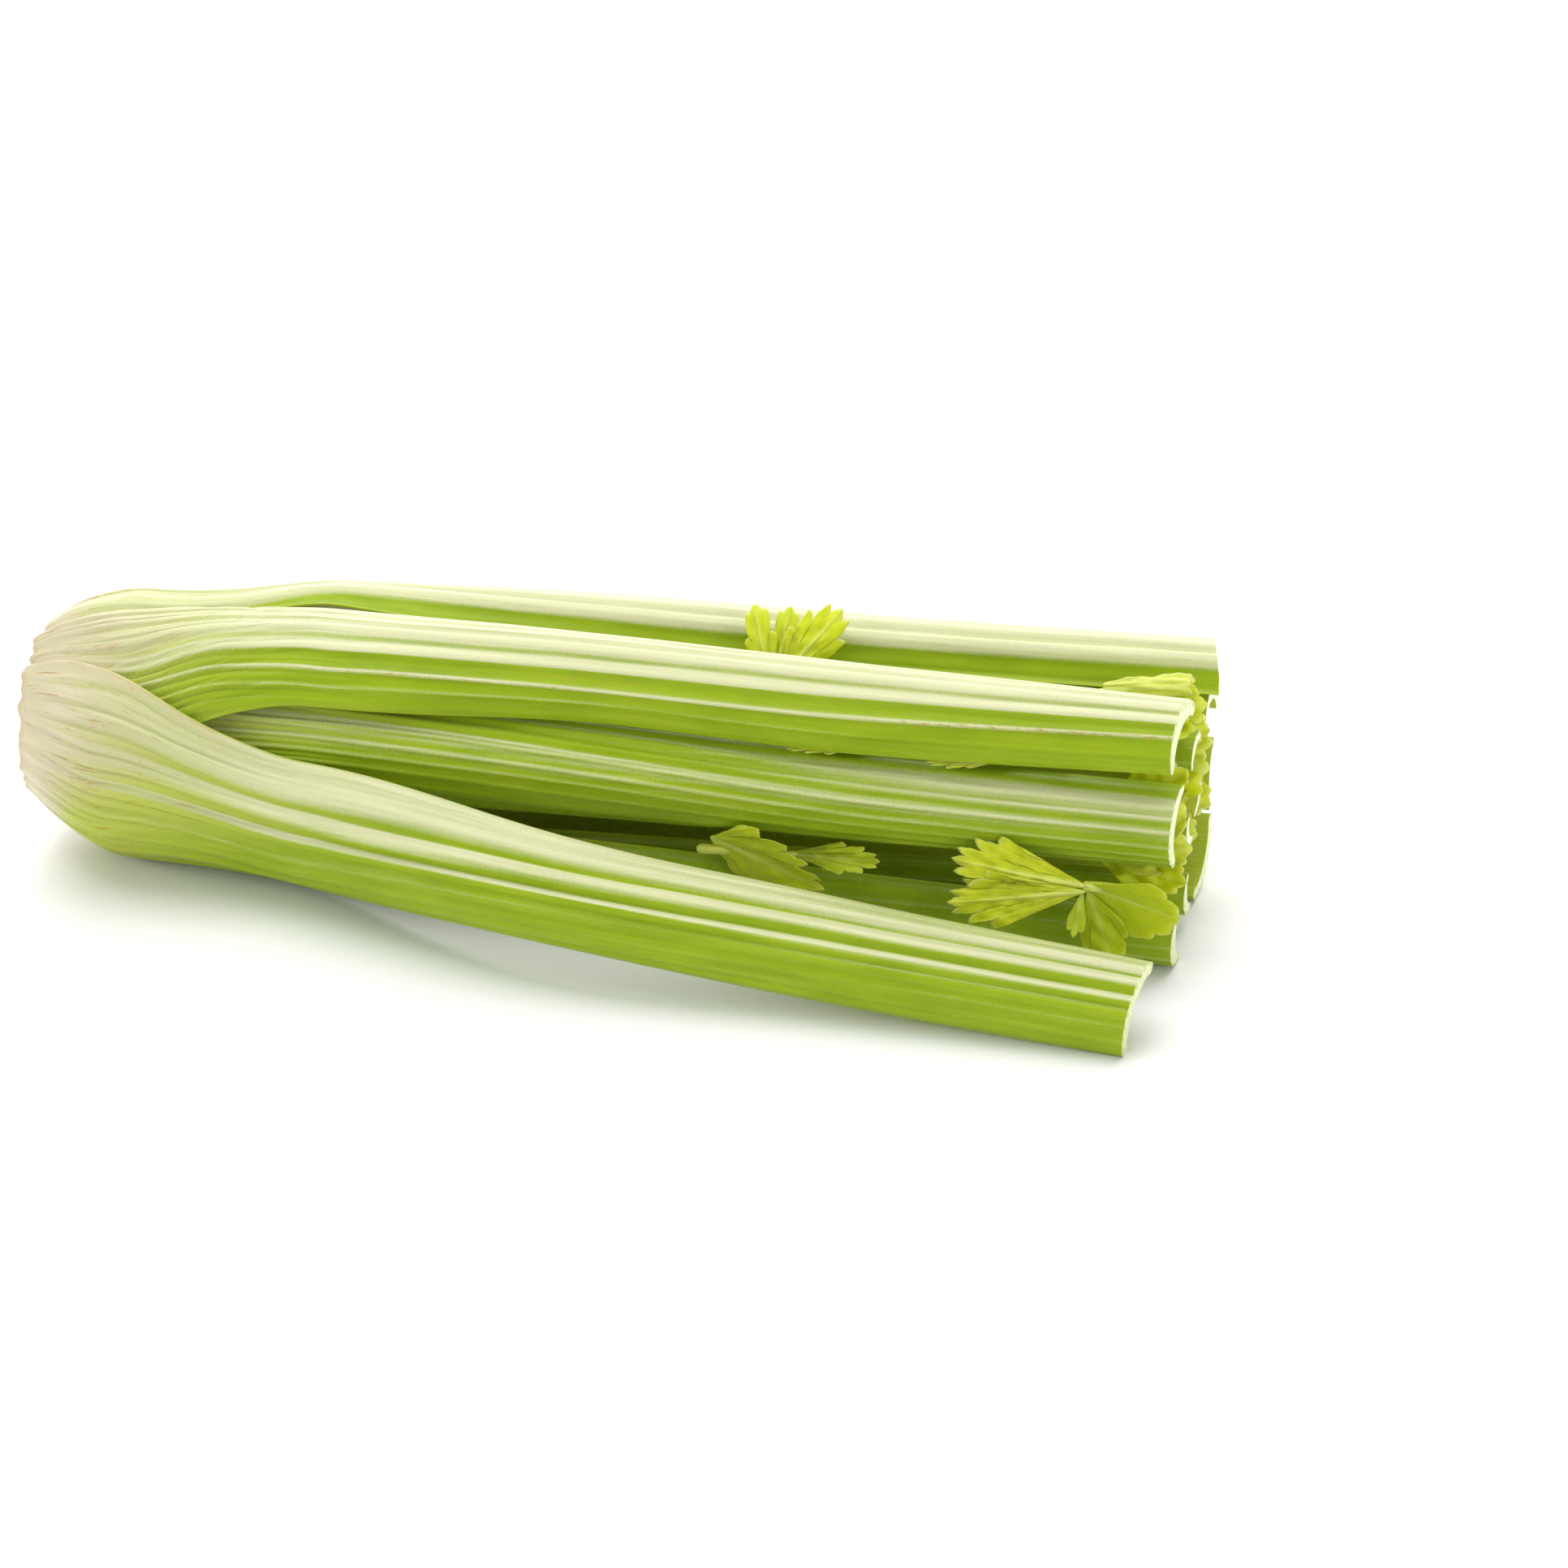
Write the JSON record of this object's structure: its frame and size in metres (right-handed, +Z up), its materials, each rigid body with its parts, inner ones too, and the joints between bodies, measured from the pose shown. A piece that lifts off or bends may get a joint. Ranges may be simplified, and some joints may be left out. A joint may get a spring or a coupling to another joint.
{
  "type": "head of celery",
  "caption": "Trimmed head of celery lying on its side: a pale swollen root end, ribbed crescent stalks cut square at the top, and toothed leaves between them.",
  "frame": {"origin": "on the surface that the head lies on, under the middle of the whole head", "axes": "+X from the root cut to the cut tops, +Y towards the back of the head, +Z up"},
  "size_m": [0.2649, 0.1, 0.0648],
  "materials": {
    "root": "rough dry cut, tan brown",
    "stalk": "moist waxy skin, cream at the root to yellow green, ribbed",
    "inner_stalk": "moist waxy skin, paler yellow green, ribbed",
    "heart_stalk": "moist, pale yellow green",
    "leaf": "soft satin, bright yellow green",
    "young_leaf": "soft satin, pale yellow green"
  },
  "bodies": {
    "root": {"root_crown": "root", "stalk_front": "stalk", "stalk_top_front": "stalk", "stalk_top_back": "stalk", "stalk_back_low": "stalk", "stalk_middle": "stalk", "stalk_low_front": "stalk", "stalk_top_inner": "inner_stalk", "stalk_back_inner": "inner_stalk", "stalk_low_inner": "inner_stalk", "heart_stalk_front": "heart_stalk", "heart_stalk_back": "heart_stalk", "heart_stalk_low": "heart_stalk", "leaf_spray_top": "leaf", "leaf_spray_top_end": "young_leaf", "leaf_spray_front_middle": "leaf", "leaf_spray_front_end": "leaf", "leaf_spray_between": "leaf", "heart_leaf_top": "young_leaf", "heart_leaf_front": "young_leaf", "heart_leaf_low": "young_leaf", "heart_leaf_back": "young_leaf"}
  },
  "joints": []
}
